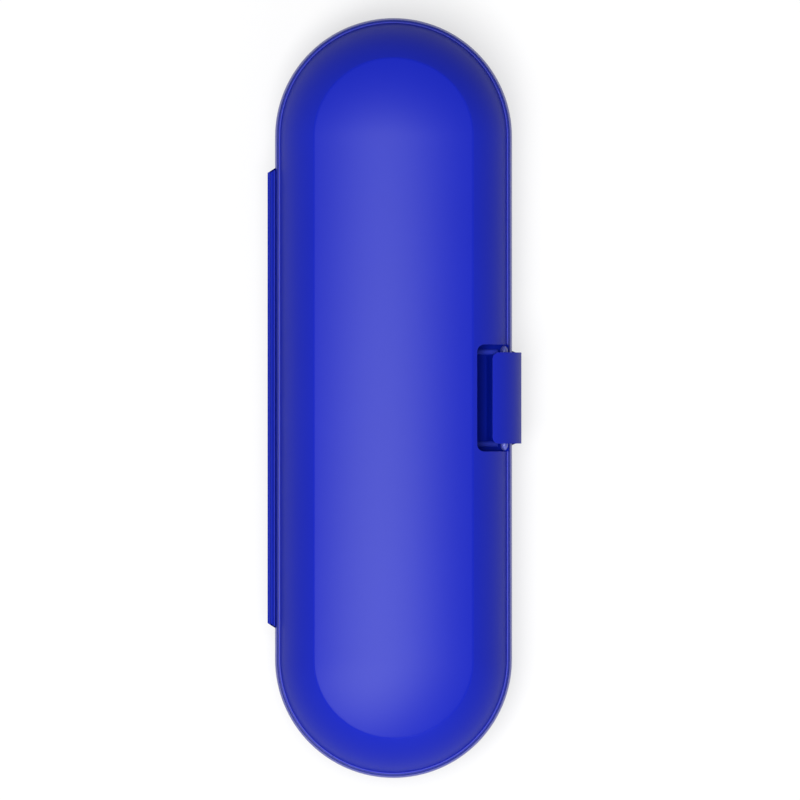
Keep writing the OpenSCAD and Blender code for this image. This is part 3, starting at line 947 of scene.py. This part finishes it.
def pad(name, node, y, seat_r):
    """Soft foam pad: a block with full edges, hollowed towards the handle."""
    half, hollow_r = PAD_W / 2, seat_r + PAD_GAP
    edge = math.degrees(math.acos(half / hollow_r))
    pts = [(HANDLE_X + half, PAD_SEAT_Z), (HANDLE_X - half, PAD_SEAT_Z)]
    pts += arc(HANDLE_X, HANDLE_Z, hollow_r, 180 - edge, edge, 32)
    o = soft_prism(name, pts, PAD_T / 2, 0.18, middle=y)
    finish_piece(o, "lid", node, pad_grey, smooth=50)


# Stage, in metres

FLOOR_HALF = 4.0
FLOOR_DROP = 0.00005
FLOOR_GREY = 0.29
FLOOR_GLOW = 0.68
WORLD_LEVEL = 0.16
AIM = (0, 0, 0.03)
CAMERA_PLACE = (0.00178, -0.00055, 6.021)
CAMERA_LENS = 984.0


def seen_directly(tree):
    """1 for what the camera sees, also as a reflection or through glass, and otherwise 0."""
    path = add(tree, "LightPath")
    level = path.outputs["Is Camera Ray"]
    for ray in ("Is Glossy Ray", "Is Transmission Ray"):
        higher = add(tree, "Math")
        higher.operation = "MAXIMUM"
        tree.links.new(level, higher.inputs[0])
        tree.links.new(path.outputs[ray], higher.inputs[1])
        level = higher.outputs[0]
    return level


def floor_material():
    """A grey that keeps the shadow, with a glow that only shows where it is seen directly."""
    mat = bpy.data.materials.new("pale_floor")
    tree, out = empty_tree(mat, "OutputMaterial")
    link = tree.links.new
    diffuse = add(tree, "BsdfDiffuse", Color=(FLOOR_GREY, FLOOR_GREY, FLOOR_GREY, 1))
    level = add(tree, "Math")
    level.operation = "MULTIPLY"
    level.inputs[1].default_value = FLOOR_GLOW
    link(seen_directly(tree), level.inputs[0])
    glow = add(tree, "Emission")
    link(level.outputs[0], glow.inputs["Strength"])
    both = add(tree, "AddShader")
    link(diffuse.outputs[0], both.inputs[0])
    link(glow.outputs[0], both.inputs[1])
    link(both.outputs[0], out.inputs["Surface"])
    return mat


def stage_floor():
    me = bpy.data.meshes.new("floor")
    s = FLOOR_HALF
    me.from_pydata([(-s, -s, 0), (s, -s, 0), (s, s, 0), (-s, s, 0)], [], [(0, 1, 2, 3)])
    me.materials.append(floor_material())
    o = bpy.data.objects.new("floor", me)
    o.location.z = -FLOOR_DROP
    bpy.context.scene.collection.objects.link(o)


def stage_world():
    """Soft even light, and plain white where the world itself is seen directly."""
    world = bpy.data.worlds.new("studio")
    bpy.context.scene.world = world
    tree, out = empty_tree(world, "OutputWorld")
    link = tree.links.new
    mix = add(tree, "MixShader")
    link(seen_directly(tree), mix.inputs[0])
    for slot, level in ((1, WORLD_LEVEL), (2, 1.0)):
        light = add(tree, "Background", Color=(1, 1, 1, 1), Strength=level)
        link(light.outputs[0], mix.inputs[slot])
    link(mix.outputs[0], out.inputs["Surface"])


def softbox(name, place, width, length, power):
    """An area light that points at the case."""
    light = bpy.data.lights.new(name, "AREA")
    light.shape = "RECTANGLE"
    light.size, light.size_y = width, length
    light.energy = power
    o = bpy.data.objects.new(name, light)
    o.location = place
    o.rotation_euler = (Vector(AIM) - Vector(place)).to_track_quat("-Z", "Y").to_euler()
    o.visible_camera = False
    bpy.context.scene.collection.objects.link(o)


def stage_camera():
    """A camera that looks straight down from far away, as in the photo."""
    camera = bpy.data.cameras.new("camera")
    camera.lens = CAMERA_LENS
    camera.sensor_width = 36.0
    camera.clip_start, camera.clip_end = 0.1, 10.0
    o = bpy.data.objects.new("camera", camera)
    o.location = CAMERA_PLACE
    bpy.context.scene.collection.objects.link(o)
    bpy.context.scene.camera = o


lid()
base()
leaves()
fold()
latch()
pin()
bead()
cradle("cradle_foot_moulded", "cradle_foot", FOOT_Y, GRIP_SEAT_R)
cradle("cradle_grip_moulded", "cradle_grip", GRIP_Y, GRIP_SEAT_R)
cradle("cradle_neck_moulded", "cradle_neck", NECK_Y, NECK_SEAT_R)
clip("head_clip_upper_moulded", "head_clip_upper", CLIP_Y)
clip("head_clip_lower_moulded", "head_clip_lower", -CLIP_Y)
peg_block()
pad("lid_pad_foot_foam", "lid_pad_foot", FOOT_Y, GRIP_SEAT_R)
pad("lid_pad_grip_foam", "lid_pad_grip", GRIP_Y, GRIP_SEAT_R)
pad("lid_pad_neck_foam", "lid_pad_neck", NECK_Y, NECK_SEAT_R)

stage_floor()
stage_world()
softbox("overhead", (-0.082, -0.12, 0.9), 0.35, 0.52, 8.8)
softbox("front_fill", (0.35, -1.3, 0.75), 0.9, 0.6, 5.0)
stage_camera()
bpy.context.scene.view_settings.view_transform = "Standard"
